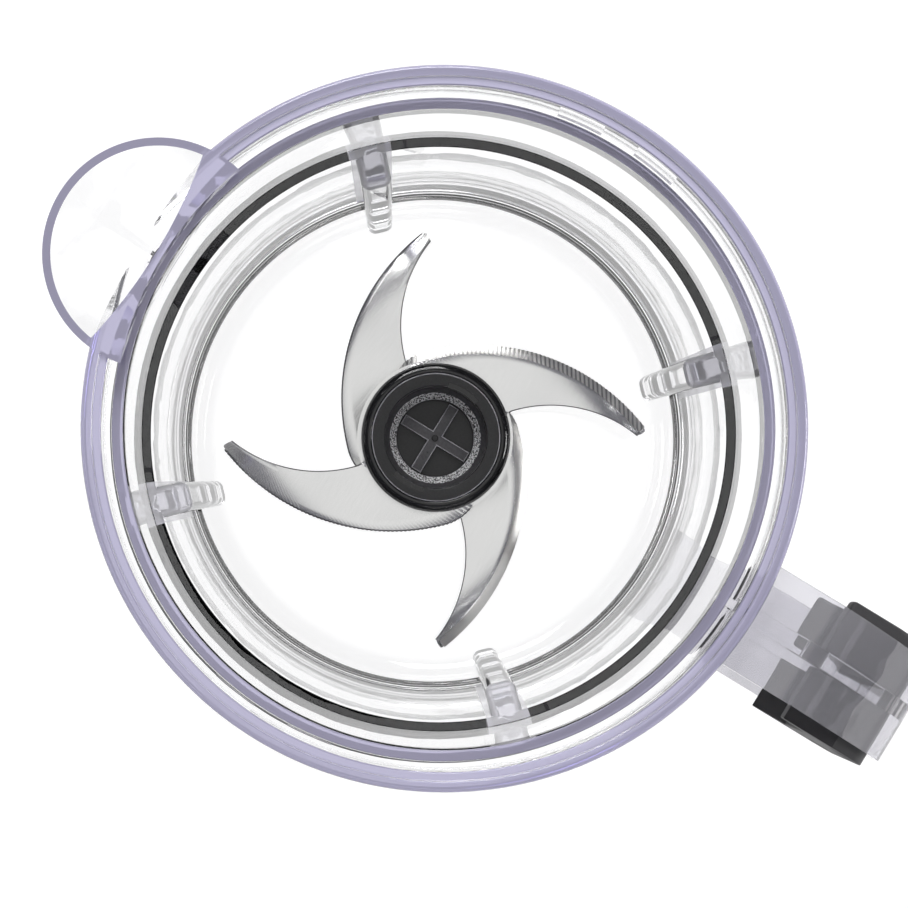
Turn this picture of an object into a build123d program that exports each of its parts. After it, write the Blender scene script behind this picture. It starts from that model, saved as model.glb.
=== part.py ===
"""Food processor jug with its lift-out four-wing blade unit.

Frame: millimetres, origin on the jug's axis at the plane it stands on, +Z up to the mouth,
+X towards the handle, the spout on -X. Each function makes one piece.
"""

import os
from math import cos, radians, sin, tan

from build123d import *

# --- Jug: vessel ---------------------------------------------------------------------------
JUG_HEIGHT = 140.0  # foot to rim
WALL = 2.5
MOUTH_RADIUS = 71.1  # bore that takes the lid's seal
MOUTH_DROP = 9.0  # inner wall stops this far below the rim
MOUTH_LENGTH = 12.0  # true cylinder below the inner wall's top
MOUTH_DRAFT = 2.0  # the wall narrows by this much from the mouth to the ledge
SHOULDER_DROP = 56.0  # from the rim down to the ledge
SHOULDER_STEP = 2.0  # inward step of the ledge
SHOULDER_FALL = 3.0  # height of the ledge's slope
WALL_DRAFT = 5.1  # the wall narrows by this much from the ledge to the floor's round
FLOOR_TOP = 12.0
FLOOR_THICK = 3.0
FLOOR_ROUND = 8.0
FLOOR_DISC_INSET = 1.0  # the floor's disc ends this far inside the round
SKIRT_TOP = 30.0  # the flared skirt leaves the wall here
SKIRT_ROOT = 9.0  # depth of the skirt where it leaves the wall
SKIRT_BEND = 11.0  # the flare turns upright here
SKIRT_BEND_DROP = 1.0  # the inside of the bend is this much lower
SKIRT_FOOT = 2.6  # lower edge of the skirt
SKIRT_CLEAR = 1.0  # between the wall's foot and the skirt's lower part
LEDGE_FILLET = 1.2
SKIRT_TOP_FILLET = 6.0
SKIRT_BEND_FILLET = 3.0
SKIRT_INNER_FILLET = 2.0

# --- Jug: ribs inside the wall -------------------------------------------------------------
RIB_COUNT = 4
RIB_TOP_DEPTH = 6.4  # how far the rib stands out from the wall, at its top
RIB_LOW_DEPTH = 7.95
RIB_TOP_WIDTH = 7.5
RIB_LOW_WIDTH = 6.3
RIB_ROOF = 7.0  # height of the sloping roof on each rib
RIB_SINK = 1.0  # the rib's foot is drawn this far into the floor before it is trimmed

# --- Rim collar, spout and lugs ------------------------------------------------------------
GROOVE_WIDTH = 1.9  # lid groove between the vessel's wall and the collar
COLLAR_WALL = 4.5
COLLAR_DEPTH = 22.0
GROOVE_FLOOR = 3.0  # thickness under the groove
RIM_STEP = 2.5  # width of the rim's outer, higher half
STEP_DROP = 1.2  # inner half of the rim's top is this much lower
COLLAR_FOOT_FILLET = 1.5
RIM_FILLET = 0.9
STEP_FILLET = 0.4
GROOVE_FILLET = 0.6
LUG_HALF_ANGLE = 11.5
LUG_NOTCH_HALF_ANGLE = 3.3
LUG_REACH = 1.7  # how far each lug stands into the groove
LUG_HEIGHT = 5.0
LUG_DROP = 2.0  # from the rim's step down to the lug's top
KEY_WIDTH = 2.2
COLLAR_BITE = 1.1  # how far the lugs and the key are rooted in the collar
SPOUT_MOUTH_RADIUS = 25.5
SPOUT_THROAT_RADIUS = 9.0
SPOUT_THROAT_SHIFT = 6.6  # the throat's centre is this much nearer the axis than the mouth's
SPOUT_DEPTH = 27.0
SPOUT_WALL = 1.8
SPOUT_FLOOR = 3.0

# --- Handle and its grip -------------------------------------------------------------------
HANDLE_DEPTH = 44.0  # from the rim out to the handle's back
HANDLE_TOP_DROP = 5.5  # handle's top below the rim
HANDLE_BOTTOM = 27.0
HANDLE_FLAT = 19.0  # flat top, from the rim to where it slopes down
HANDLE_SHOULDER_DROP = 24.0  # from the flat top down to the upright back
HANDLE_LOW_RISE = 22.0
HANDLE_LOW_FLAT = 26.0
HANDLE_ROUND = 13.0
HANDLE_ROOT = 20.0  # outline's start, inside the jug, where it is cut away
HANDLE_WIDTH = 25.0
HANDLE_PLATE = 3.0
SPINE_WIDTH = 4.0
SPINE_DEPTH = 12.0
GRIP_DEPTH = 17.0
GRIP_WIDTH = 31.0
GRIP_RISE = 17.0  # grip's lower end above the handle's bottom
GRIP_DROP = 16.5  # grip's upper end below the handle's top
GRIP_CHAMFER = 2.5  # along the finger side of each cheek
GRIP_SCREW_RISE = 12.0  # lower screw above the grip's lower end
GRIP_SCREW_DROP = 14.0
GRIP_SCREW_RADIUS = 1.9
GRIP_SCREW_HEAD_RADIUS = 3.6
GRIP_SCREW_HEAD = 2.2
GRIP_SCREW_RECESS = 0.4
GRIP_SCREW_END = 4.65  # material left beyond the screw's point
GRIP_SCREW_INSET = 7.5  # from the handle's back to the screw's axis

# --- Foot ring -----------------------------------------------------------------------------
FOOT_WIDTH = 7.0
FOOT_HEIGHT = 8.0
FOOT_ROUND = 1.0
FOOT_LIP = 2.1  # rubber outside the skirt

# --- Pivot pin and what fastens it ---------------------------------------------------------
PIN_RADIUS = 4.0
PIN_HEIGHT = 19.0  # above the floor
PIN_TIP_CHAMFER = 1.2
PIN_FLANGE_WIDTH = 4.0
PIN_FLANGE = 2.5
STUD_RADIUS = 3.0
STUD_HOLE_CLEARANCE = 0.1
STUD_LENGTH = 7.4  # below the floor
SEAL_RADIUS = 0.85  # section of the O-ring
SEAL_CENTRE_INSET = 2.4  # from the flange's edge to the middle of the O-ring
SEAL_GROOVE_RATIO = 1.25  # the groove is this much wider than the O-ring
WASHER_WIDTH = 4.4
WASHER_THICK = 1.0
LOCK_WASHER_WIDTH = 2.3
LOCK_WASHER_THICK = 1.0
LOCK_WASHER_SLIT = 0.6
LOCK_WASHER_SLANT = 30.0
NUT_WALL = 2.0
NUT_HEIGHT = 4.2
THREAD_CLEARANCE = 0.02

# --- Bearing sleeve and its trim -----------------------------------------------------------
RUNNING_CLEARANCE = 0.05
SLEEVE_WALL = 1.95
SLEEVE_OVER_PIN = 1.0  # the sleeve stands this far above the pin
SLEEVE_FLANGE_WIDTH = 1.5
SLEEVE_FLANGE = 1.5
THRUST_WIDTH = 2.0
THRUST_THICK = 0.8
CLIP_WIDTH = 1.6
CLIP_THICK = 0.8
CLIP_GROOVE = 0.7
CLIP_GAP_ANGLE = 70.0
AXIAL_CLEARANCE = 0.3

# --- Hub, with heights above the jug's floor -----------------------------------------------
CUP_RADIUS = 12.3
CUP_WALL = 3.2
HUB_RING_WIDTH = 2.5
HUB_RING_ROUND = 1.2
HUB_HEIGHT = 38.0
HUB_HEAD = 10.0
HUB_GAP = 3.0  # under the hub
SEAL_WALL = 2.2  # of the stem, round the lip seal
STEM_FLAT_CUT = 1.5  # depth of each flat on the stem
BUSH_WALL = 2.25
BUSH_LENGTH = 5.7
BUSH_SPACE = 2.0  # between the bushes
CAVITY_CLEAR = 3.3  # free height above the upper bush
CUP_DEPTH = 6.5
POCKET_INSET = 2.9  # the pocket is this much narrower than the cup
POCKET_CONE = 3.5  # height of the slope between them
POCKET_DEPTH = 5.2
NOTCH_REACH = 1.3
NOTCH_DEPTH = 2.0
NOTCH_HALF_ANGLE = 18.0
DISC_THICK = 1.5
CROSS_WIDTH = 2.7
CROSS_HEIGHT = 2.6
CROSS_NUB_RADIUS = 0.8
CROSS_NUB = 0.4
LIP_SEAL_WIDTH = 1.4
LIP_SEAL_RISE = 1.4  # its lower edge above the floor
LIP_SEAL_HEIGHT = 3.8
LIP_GAP = 0.4

# --- Blades --------------------------------------------------------------------------------
BLADE_THICK = 1.5
BLADE_EYE_LIP = 0.9  # the eye shows this much outside the hub
BLADE_ANGLE = 32.8  # first wing of the upper pair from the handle's direction
LEAD_CENTRE = (9.6, -29.5)  # centre of the convex cutting edge's arc, wing along +X
LEAD_RADIUS = 52.0
LEAD_ROOT_ANGLE = 105.6
LEAD_TIP_ANGLE = 36.6
TRAIL_CENTRE = (27.6, -26.2)
TRAIL_RADIUS = 33.4
TRAIL_TIP_ANGLE = 49.5
TRAIL_ROOT_ANGLE = 102.0
TIP_BULGE = 1.08  # of the tip's round, past the line between its corners
ROOT_FILLET = 1.6  # where each wing's edges meet the eye
BEVEL_WIDTH = 2.3
EDGE_LAND = 0.3  # thickness left at the cutting edge
LOWER_BLADE_RISE = 7.5  # above the jug's floor
CLAMP_WIDTH = 3.5
CLAMP_CLEARANCE = 0.05
BLADE_WASHER_THICK = 1.0
BLADE_NUT_WIDTH = 4.0
BLADE_NUT_SLOTS = 4
BLADE_NUT_SLOT_WIDTH = 3.0
BLADE_NUT_SLOT_DEPTH = 1.5

# --- Worked out from the values above ------------------------------------------------------
VESSEL_RADIUS = MOUTH_RADIUS + WALL
COLLAR_INNER = VESSEL_RADIUS + GROOVE_WIDTH
RIM_RADIUS = COLLAR_INNER + COLLAR_WALL
RIM_STEP_RADIUS = RIM_RADIUS - RIM_STEP
INNER_TOP = JUG_HEIGHT - MOUTH_DROP
COLLAR_LOW = JUG_HEIGHT - COLLAR_DEPTH
SHOULDER_Z = JUG_HEIGHT - SHOULDER_DROP
SHOULDER_RADIUS = MOUTH_RADIUS - MOUTH_DRAFT
LEDGE_RADIUS = SHOULDER_RADIUS - SHOULDER_STEP
LEDGE_LOW = SHOULDER_Z - SHOULDER_FALL
FLOOR_WALL_RADIUS = LEDGE_RADIUS - WALL_DRAFT
FLOOR_LOW = FLOOR_TOP - FLOOR_THICK
FLOOR_ROUND_TOP = FLOOR_TOP + FLOOR_ROUND
FLOOR_DISC_RADIUS = FLOOR_WALL_RADIUS - FLOOR_ROUND - FLOOR_DISC_INSET
SKIRT_OUTER = RIM_RADIUS - FOOT_LIP
SPOUT_THROAT_CENTRE = VESSEL_RADIUS - SPOUT_THROAT_SHIFT

HANDLE_REACH = RIM_RADIUS + HANDLE_DEPTH
HANDLE_TOP = JUG_HEIGHT - HANDLE_TOP_DROP
HANDLE_SLOPE_START = RIM_RADIUS + HANDLE_FLAT
HANDLE_LOW_START = RIM_RADIUS + HANDLE_LOW_FLAT
GRIP_LOW = HANDLE_BOTTOM + GRIP_RISE
GRIP_HIGH = HANDLE_TOP - GRIP_DROP
GRIP_SCREW_ZS = (GRIP_LOW + GRIP_SCREW_RISE, GRIP_HIGH - GRIP_SCREW_DROP)

PIN_TIP_Z = FLOOR_TOP + PIN_HEIGHT
PIN_FLANGE_RADIUS = PIN_RADIUS + PIN_FLANGE_WIDTH
FLANGE_TOP = FLOOR_TOP + PIN_FLANGE
SEAL_CENTRE = PIN_FLANGE_RADIUS - SEAL_CENTRE_INSET
STUD_HOLE = STUD_RADIUS + STUD_HOLE_CLEARANCE
STUD_END = FLOOR_LOW - STUD_LENGTH

SLEEVE_BORE = PIN_RADIUS + RUNNING_CLEARANCE
SLEEVE_RADIUS = SLEEVE_BORE + SLEEVE_WALL
SLEEVE_TOP = PIN_TIP_Z + SLEEVE_OVER_PIN
THRUST_LOW = FLANGE_TOP + SLEEVE_FLANGE
THRUST_TOP = THRUST_LOW + THRUST_THICK
BUSH_BORE = SLEEVE_RADIUS + RUNNING_CLEARANCE
BUSH_RADIUS = BUSH_BORE + BUSH_WALL
LOWER_BUSH_LOW = THRUST_TOP + RUNNING_CLEARANCE
LOWER_BUSH_TOP = LOWER_BUSH_LOW + BUSH_LENGTH
UPPER_BUSH_LOW = LOWER_BUSH_TOP + BUSH_SPACE
UPPER_BUSH_TOP = UPPER_BUSH_LOW + BUSH_LENGTH
CLIP_LOW = UPPER_BUSH_TOP + AXIAL_CLEARANCE
CAVITY_TOP = UPPER_BUSH_TOP + CAVITY_CLEAR

HUB_RING_INNER = CUP_RADIUS + CUP_WALL
HUB_RADIUS = HUB_RING_INNER + HUB_RING_WIDTH
HUB_TOP = FLOOR_TOP + HUB_HEIGHT
HEAD_LOW = HUB_TOP - HUB_HEAD
HUB_BOTTOM = FLOOR_TOP + HUB_GAP
CUP_STEP_Z = HUB_TOP - CUP_DEPTH
POCKET_RADIUS = CUP_RADIUS - POCKET_INSET
POCKET_TOP = CUP_STEP_Z - POCKET_CONE
POCKET_FLOOR = POCKET_TOP - POCKET_DEPTH
NOTCH_RADIUS = CUP_RADIUS + NOTCH_REACH
LIP_SEAL_BORE = PIN_FLANGE_RADIUS + LIP_GAP
LIP_SEAL_RADIUS = LIP_SEAL_BORE + LIP_SEAL_WIDTH
LIP_SEAL_LOW = FLOOR_TOP + LIP_SEAL_RISE
LIP_SEAL_TOP = LIP_SEAL_LOW + LIP_SEAL_HEIGHT
STEM_RADIUS = LIP_SEAL_RADIUS + SEAL_WALL
STEM_FLATS = 2 * (STEM_RADIUS - STEM_FLAT_CUT)

BLADE_EYE_RADIUS = HUB_RADIUS + BLADE_EYE_LIP
LOWER_BLADE_Z = FLOOR_TOP + LOWER_BLADE_RISE
UPPER_BLADE_Z = HEAD_LOW - BLADE_THICK
CLAMP_BORE = STEM_RADIUS + CLAMP_CLEARANCE
CLAMP_RADIUS = STEM_RADIUS + CLAMP_WIDTH
BLADE_NUT_RADIUS = STEM_RADIUS + BLADE_NUT_WIDTH
EDGE = 10.0  # how far a cutting tool runs past what it cuts


def ring(outer, inner, low, high):
    """Plain round ring, or a disc where the inner radius is 0."""
    body = Pos(0, 0, low) * extrude(Circle(outer), high - low)
    if inner > 0:
        body -= Pos(0, 0, low - EDGE) * extrude(Circle(inner), high - low + 2 * EDGE)
    return body


def turned(points, rounds=None):
    """Solid of revolution about Z from a closed outline of (radius, z) points.

    rounds maps a point's place in the list to the radius of its fillet.
    """
    radii = [0.0] * len(points)
    for place, radius in (rounds or {}).items():
        radii[place] = radius
    if any(radii):
        outline = FilletPolyline(*points, radius=radii, close=True)
    else:
        outline = Polyline(*points, close=True)
    return revolve(Plane.XZ * make_face(outline), Axis.Z)


def sector(radius, half_angle, low, high):
    """Wedge of a cylinder centred on +X, for cutting pieces by angle."""
    side = radius * tan(radians(half_angle))
    outline = Polyline((0, 0), (radius, side), (radius, -side), close=True)
    return Pos(0, 0, low) * extrude(make_face(outline), high - low)


def save(name, piece):
    """Write one node's STEP file."""
    piece.label = name
    export_step(piece, f"parts/{name}.step")


# --- Jug -----------------------------------------------------------------------------------
def inner_radius(z):
    """Inside radius of the tapered wall below the shoulder."""
    share = (z - FLOOR_ROUND_TOP) / (LEDGE_LOW - FLOOR_ROUND_TOP)
    return FLOOR_WALL_RADIUS + WALL_DRAFT * share


def jug_shell():
    """Wall, floor and flared skirt as one turned shell."""
    points = [
        (0, FLOOR_TOP),
        (inner_radius(FLOOR_TOP), FLOOR_TOP),
        (LEDGE_RADIUS, LEDGE_LOW),
        (SHOULDER_RADIUS, SHOULDER_Z),
        (MOUTH_RADIUS, INNER_TOP - MOUTH_LENGTH),
        (MOUTH_RADIUS, INNER_TOP),
        (VESSEL_RADIUS, INNER_TOP),
        (VESSEL_RADIUS, COLLAR_LOW),
        (SHOULDER_RADIUS + WALL, SHOULDER_Z),
        (LEDGE_RADIUS + WALL, LEDGE_LOW),
        (inner_radius(SKIRT_TOP) + WALL, SKIRT_TOP),
        (SKIRT_OUTER, SKIRT_BEND),
        (SKIRT_OUTER, SKIRT_FOOT),
        (SKIRT_OUTER - WALL, SKIRT_FOOT),
        (SKIRT_OUTER - WALL, SKIRT_BEND - SKIRT_BEND_DROP),
        (inner_radius(FLOOR_TOP) + WALL, SKIRT_TOP - SKIRT_ROOT),
        (inner_radius(FLOOR_TOP) + WALL / 2, FLOOR_LOW),
        (0, FLOOR_LOW),
    ]
    rounds = {
        1: FLOOR_ROUND,
        2: LEDGE_FILLET,
        3: LEDGE_FILLET,
        10: SKIRT_TOP_FILLET,
        11: SKIRT_BEND_FILLET,
        14: SKIRT_INNER_FILLET,
        15: SKIRT_BEND_FILLET,
        16: SKIRT_INNER_FILLET,
    }
    return turned(points, rounds)


def jug_floor():
    """Flat disc of the floor, with the hole for the pin's stud."""
    return jug_shell() & ring(FLOOR_DISC_RADIUS, STUD_HOLE, 0, JUG_HEIGHT)


def jug_skirt():
    """Lower part of the flared skirt, which carries the foot ring."""
    outside = ring(RIM_RADIUS, inner_radius(FLOOR_TOP) + WALL + SKIRT_CLEAR, 0, FLOOR_ROUND_TOP)
    return jug_shell() & outside


def jug_wall():
    """Tapered wall with its ledge, the round at its foot and the root of the skirt."""
    return jug_shell() - ring(FLOOR_DISC_RADIUS, 0, 0, JUG_HEIGHT) - jug_skirt()


def jug_ribs():
    """Stirring ribs that stop the food from riding round with the blades."""
    low, high = FLOOR_TOP - RIB_SINK, LEDGE_LOW
    low_reach, top_reach = inner_radius(low) - RIB_LOW_DEPTH, LEDGE_RADIUS - RIB_TOP_DEPTH
    sections = []
    for z, reach, width in ((low, low_reach, RIB_LOW_WIDTH), (high, top_reach, RIB_TOP_WIDTH)):
        root = inner_radius(z) + WALL / 3
        sections.append(Pos((root + reach) / 2, 0, z) * Rectangle(root - reach, width))
    roof = Polyline(
        (low_reach, high - RIB_ROOF),
        (top_reach, high - RIB_ROOF),
        (LEDGE_RADIUS, high),
        (LEDGE_RADIUS + EDGE, high + EDGE),
        (low_reach, high + EDGE),
        close=True,
    )
    rib = loft(sections) - extrude(Plane.XZ * make_face(roof), RIB_TOP_WIDTH, both=True) - jug_shell()
    step = 360 / RIB_COUNT
    turns = [Rot(0, 0, step * (place + 0.5)) * rib for place in range(RIB_COUNT)]
    return Compound(children=[Part(turn.wrapped) for turn in turns])


def jug_envelope():
    """Everything inside the jug's outer surface, to cut what is fixed to it."""
    return turned(
        [
            (0, SKIRT_FOOT),
            (SKIRT_OUTER, SKIRT_FOOT),
            (SKIRT_OUTER, SKIRT_BEND),
            (inner_radius(SKIRT_TOP) + WALL, SKIRT_TOP),
            (LEDGE_RADIUS + WALL, LEDGE_LOW),
            (SHOULDER_RADIUS + WALL, SHOULDER_Z),
            (VESSEL_RADIUS, COLLAR_LOW),
            (VESSEL_RADIUS, JUG_HEIGHT + EDGE),
            (0, JUG_HEIGHT + EDGE),
        ],
        {2: SKIRT_BEND_FILLET, 3: SKIRT_TOP_FILLET},
    )


# --- Rim collar ----------------------------------------------------------------------------
def spout_cone(shrink, low, high):
    """Slanting cone between two heights; the spout is the space between two of them."""
    sections = []
    for z in (low, high):
        share = (z - (JUG_HEIGHT - SPOUT_DEPTH)) / SPOUT_DEPTH
        centre = SPOUT_THROAT_CENTRE + SPOUT_THROAT_SHIFT * share
        radius = SPOUT_THROAT_RADIUS + (SPOUT_MOUTH_RADIUS - SPOUT_THROAT_RADIUS) * share
        sections.append(Pos(-centre, 0, z) * Circle(radius - shrink))
    return loft(sections)


def lid_lug():
    """Bayonet lug inside the collar, in two halves, that the lid turns under."""
    top = JUG_HEIGHT - STEP_DROP - LUG_DROP
    lug = ring(COLLAR_INNER + COLLAR_BITE, COLLAR_INNER - LUG_REACH, top - LUG_HEIGHT, top)
    lug &= sector(RIM_RADIUS, LUG_HALF_ANGLE, top - LUG_HEIGHT, top)
    return lug - sector(COLLAR_INNER, LUG_NOTCH_HALF_ANGLE, top - LUG_HEIGHT, top)


def rim_collar():
    """Clear collar round the mouth, with the pouring spout, the lid's lugs and its key."""
    groove_z = COLLAR_LOW + GROOVE_FLOOR
    step_z = JUG_HEIGHT - STEP_DROP
    body = turned(
        [
            (VESSEL_RADIUS, COLLAR_LOW),
            (RIM_RADIUS, COLLAR_LOW),
            (RIM_RADIUS, JUG_HEIGHT),
            (RIM_STEP_RADIUS, JUG_HEIGHT),
            (RIM_STEP_RADIUS, step_z),
            (COLLAR_INNER, step_z),
            (COLLAR_INNER, groove_z),
            (VESSEL_RADIUS, groove_z),
        ],
        {1: COLLAR_FOOT_FILLET, 2: RIM_FILLET, 3: STEP_FILLET, 5: GROOVE_FILLET},
    )
    spout_low = JUG_HEIGHT - SPOUT_DEPTH
    body += spout_cone(0, spout_low, JUG_HEIGHT) - jug_envelope()
    body -= spout_cone(SPOUT_WALL, spout_low + SPOUT_FLOOR, JUG_HEIGHT + STEP_DROP)
    for angle in (90, -90):
        body += Rot(0, 0, angle) * lid_lug()
    key_length = GROOVE_WIDTH + COLLAR_BITE
    key = Pos(VESSEL_RADIUS + key_length / 2, 0, (groove_z + INNER_TOP) / 2)
    return body + key * Box(key_length, KEY_WIDTH, INNER_TOP - groove_z)


# --- Handle --------------------------------------------------------------------------------
def handle_outline(inset=0.0):
    """Side view of the handle's outside, drawn in by inset; its root lies inside the jug."""
    points = [
        (HANDLE_ROOT, HANDLE_BOTTOM),
        (HANDLE_LOW_START, HANDLE_BOTTOM),
        (HANDLE_REACH, HANDLE_BOTTOM + HANDLE_LOW_RISE),
        (HANDLE_REACH, HANDLE_TOP - HANDLE_SHOULDER_DROP),
        (HANDLE_SLOPE_START, HANDLE_TOP),
        (HANDLE_ROOT, HANDLE_TOP),
    ]
    round_ = HANDLE_ROUND
    face = make_face(FilletPolyline(*points, radius=[0, round_, round_, round_, round_, 0], close=True))
    if inset:
        face = offset(face, -inset, kind=Kind.INTERSECTION)
    return Plane.XZ * face


def handle_band(outer, inner, width):
    """Part of the handle between two insets, centred on the XZ plane."""
    return extrude(handle_outline(outer) - handle_outline(inner), width / 2, both=True)


def screw_holes(radius, inner_clear):
    """Rods where the grip's screws pass, for the screws and for their holes."""
    rods = []
    for z in GRIP_SCREW_ZS:
        place = Pos(HANDLE_REACH - GRIP_SCREW_INSET, 0, z) * Rot(90, 0, 0)
        point = GRIP_SCREW_END - GRIP_WIDTH / 2
        head_top = GRIP_WIDTH / 2 - GRIP_SCREW_RECESS
        head_low = head_top - GRIP_SCREW_HEAD
        shank = ring(radius + inner_clear, 0, point, head_low)
        head = ring(GRIP_SCREW_HEAD_RADIUS + inner_clear, 0, head_low, head_top)
        rods.append(place * (shank + head))
    return rods


def handle_frame():
    """Clear handle: a wide outer plate on a thin spine."""
    body = handle_band(0, HANDLE_PLATE, HANDLE_WIDTH) + handle_band(0, SPINE_DEPTH, SPINE_WIDTH)
    body -= jug_envelope() + ring(RIM_RADIUS, 0, COLLAR_LOW, JUG_HEIGHT)
    for hole in screw_holes(GRIP_SCREW_RADIUS, THREAD_CLEARANCE):
        body -= hole
    return body


def grip_cheek(side):
    """Black soft-touch half of the grip, on one side of the spine."""
    half = GRIP_WIDTH / 2
    cheek = extrude(handle_outline(HANDLE_PLATE) - handle_outline(GRIP_DEPTH), half, both=True)
    window = Pos(HANDLE_REACH, side * half / 2, (GRIP_LOW + GRIP_HIGH) / 2)
    cheek &= window * Box(2 * (HANDLE_REACH - HANDLE_SLOPE_START), half, GRIP_HIGH - GRIP_LOW)
    outer_face = cheek.faces().sort_by(Axis.Y)[-1 if side > 0 else 0]
    finger_edge = outer_face.edges().filter_by(Axis.Z).sort_by(Axis.X)[0]
    cheek = chamfer(finger_edge, GRIP_CHAMFER)
    cheek -= handle_band(0, SPINE_DEPTH, SPINE_WIDTH)
    for hole in screw_holes(GRIP_SCREW_RADIUS, THREAD_CLEARANCE):
        cheek -= hole
    return cheek


def grip_screws():
    """The screws that clamp both cheeks to the spine."""
    return Compound(children=[Part(rod.wrapped) for rod in screw_holes(GRIP_SCREW_RADIUS, 0)])


# --- Foot and pivot ------------------------------------------------------------------------
def foot_ring():
    """Non-slip ring that grips the skirt's lower edge."""
    inner = RIM_RADIUS - FOOT_WIDTH
    return turned(
        [
            (inner, 0),
            (RIM_RADIUS, 0),
            (RIM_RADIUS, FOOT_HEIGHT),
            (SKIRT_OUTER, FOOT_HEIGHT),
            (SKIRT_OUTER, SKIRT_FOOT),
            (SKIRT_OUTER - WALL, SKIRT_FOOT),
            (SKIRT_OUTER - WALL, FOOT_HEIGHT),
            (inner, FOOT_HEIGHT),
        ],
        {0: FOOT_ROUND, 1: FOOT_ROUND, 2: FOOT_ROUND, 7: FOOT_ROUND},
    )


def pivot_pin():
    """Stainless pin the blade unit drops over, flanged and with a stud through the floor."""
    groove = SEAL_RADIUS * SEAL_GROOVE_RATIO
    groove_top = FLOOR_TOP + 2 * SEAL_RADIUS + RUNNING_CLEARANCE
    return turned(
        [
            (0, STUD_END),
            (STUD_RADIUS, STUD_END),
            (STUD_RADIUS, FLOOR_TOP),
            (SEAL_CENTRE - groove, FLOOR_TOP),
            (SEAL_CENTRE - groove, groove_top),
            (SEAL_CENTRE + groove, groove_top),
            (SEAL_CENTRE + groove, FLOOR_TOP),
            (PIN_FLANGE_RADIUS, FLOOR_TOP),
            (PIN_FLANGE_RADIUS, FLANGE_TOP),
            (PIN_RADIUS, FLANGE_TOP),
            (PIN_RADIUS, PIN_TIP_Z - PIN_TIP_CHAMFER),
            (PIN_RADIUS - PIN_TIP_CHAMFER, PIN_TIP_Z),
            (0, PIN_TIP_Z),
        ]
    )


def pin_seal():
    """O-ring under the pin's flange."""
    return Pos(0, 0, FLOOR_TOP + SEAL_RADIUS) * Torus(SEAL_CENTRE, SEAL_RADIUS)


def pin_washer():
    """Flat washer under the jug's floor."""
    return ring(STUD_HOLE + WASHER_WIDTH, STUD_HOLE, FLOOR_LOW - WASHER_THICK, FLOOR_LOW)


def pin_lock_washer():
    """Split spring washer between the flat washer and the nut."""
    high = FLOOR_LOW - WASHER_THICK
    low = high - LOCK_WASHER_THICK
    radius = STUD_HOLE + LOCK_WASHER_WIDTH
    body = ring(radius, STUD_HOLE, low, high)
    slit = Pos(radius, 0, (low + high) / 2) * Rot(LOCK_WASHER_SLANT, 0, 0)
    return body - slit * Box(2 * radius, LOCK_WASHER_SLIT, 2 * EDGE)


def pin_nut():
    """Hexagon nut on the stud."""
    high = FLOOR_LOW - WASHER_THICK - LOCK_WASHER_THICK
    hexagon = RegularPolygon(STUD_RADIUS + NUT_WALL, 6, major_radius=False)
    body = Pos(0, 0, high - NUT_HEIGHT) * extrude(hexagon, NUT_HEIGHT)
    return body - ring(STUD_RADIUS + THREAD_CLEARANCE, 0, 0, FLOOR_LOW)


# --- Carrier: lifts with the blade unit and doesn't turn -----------------------------------
def bearing_sleeve():
    """Steel sleeve that slides over the pin and rests on its flange."""
    return turned(
        [
            (SLEEVE_BORE, FLANGE_TOP),
            (SLEEVE_RADIUS + SLEEVE_FLANGE_WIDTH, FLANGE_TOP),
            (SLEEVE_RADIUS + SLEEVE_FLANGE_WIDTH, THRUST_LOW),
            (SLEEVE_RADIUS, THRUST_LOW),
            (SLEEVE_RADIUS, CLIP_LOW),
            (SLEEVE_RADIUS - CLIP_GROOVE, CLIP_LOW),
            (SLEEVE_RADIUS - CLIP_GROOVE, CLIP_LOW + CLIP_THICK),
            (SLEEVE_RADIUS, CLIP_LOW + CLIP_THICK),
            (SLEEVE_RADIUS, SLEEVE_TOP),
            (SLEEVE_BORE, SLEEVE_TOP),
        ]
    )


def thrust_washer():
    """Slippery washer that takes the rotor's weight."""
    return ring(SLEEVE_RADIUS + THRUST_WIDTH, BUSH_BORE, THRUST_LOW, THRUST_TOP)


def retaining_clip():
    """Open spring clip that keeps the rotor on the sleeve."""
    radius = SLEEVE_RADIUS + CLIP_WIDTH
    body = ring(radius, SLEEVE_RADIUS - CLIP_GROOVE, CLIP_LOW, CLIP_LOW + CLIP_THICK)
    return body - sector(radius, CLIP_GAP_ANGLE / 2, CLIP_LOW, CLIP_LOW + CLIP_THICK)


# --- Rotor: hub ----------------------------------------------------------------------------
def stem_flats(radius, flats):
    """Double-D outline shared by the stem and the blades' eyes."""
    return Circle(radius) & Rectangle(2 * radius + EDGE, flats)


def hub_body():
    """Black moulded hub: a keyed stem under a cup that takes the drive."""
    body = Pos(0, 0, HUB_BOTTOM) * extrude(stem_flats(STEM_RADIUS, STEM_FLATS), HEAD_LOW - HUB_BOTTOM)
    body += ring(HUB_RING_INNER, 0, HEAD_LOW, HUB_TOP)
    body -= turned(
        [
            (0, POCKET_FLOOR),
            (POCKET_RADIUS, POCKET_FLOOR),
            (POCKET_RADIUS, POCKET_TOP),
            (CUP_RADIUS, CUP_STEP_Z),
            (CUP_RADIUS, HUB_TOP + EDGE),
            (0, HUB_TOP + EDGE),
        ]
    )
    body -= ring(BUSH_RADIUS, 0, 0, CAVITY_TOP) + ring(LIP_SEAL_RADIUS, 0, 0, LIP_SEAL_TOP)
    notch_low = HUB_TOP - NOTCH_DEPTH
    notch = ring(NOTCH_RADIUS, 0, notch_low, HUB_TOP)
    for angle in (90, -90):
        body -= notch & (Rot(0, 0, angle) * sector(HUB_RADIUS, NOTCH_HALF_ANGLE, notch_low, HUB_TOP))
    return body


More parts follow.
